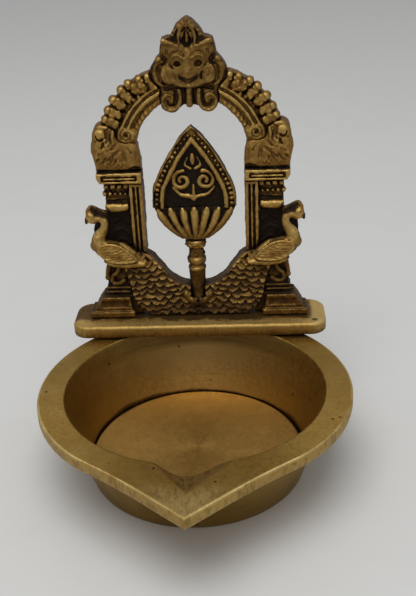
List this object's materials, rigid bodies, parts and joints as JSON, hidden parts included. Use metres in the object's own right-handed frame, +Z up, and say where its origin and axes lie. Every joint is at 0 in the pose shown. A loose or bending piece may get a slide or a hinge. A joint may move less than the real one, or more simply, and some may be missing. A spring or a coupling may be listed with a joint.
{
  "type": "brass oil lamp",
  "caption": "Small brass oil lamp: a leaf-rimmed oil bowl with a wick lip, and an arched back plate of pillars, peacocks, a spear and a crowning mask.",
  "frame": {"origin": "on the surface the lamp stands on, under the middle of its overall length and width", "axes": "+Z up, the pointed lip towards -Y, the back plate towards +Y, +X to the lamp's right as seen from the lip"},
  "size_m": [0.068, 0.0794, 0.092],
  "materials": {
    "turned_brass": "satin, turned and filed",
    "antique_brass": "cast, darkened in the hollows"
  },
  "bodies": {
    "root": {"bowl": "turned_brass", "floor_disc": "turned_brass", "base_bar": "turned_brass", "left_plinth": "antique_brass", "right_plinth": "antique_brass", "left_pillar": "antique_brass", "right_pillar": "antique_brass", "left_capital": "antique_brass", "right_capital": "antique_brass", "left_beast_block": "antique_brass", "right_beast_block": "antique_brass", "left_half_arch": "antique_brass", "right_half_arch": "antique_brass", "mask": "antique_brass", "left_peacock": "antique_brass", "right_peacock": "antique_brass", "spear_stem": "antique_brass", "petal_cup": "antique_brass", "spear_blade": "antique_brass"}
  },
  "joints": []
}
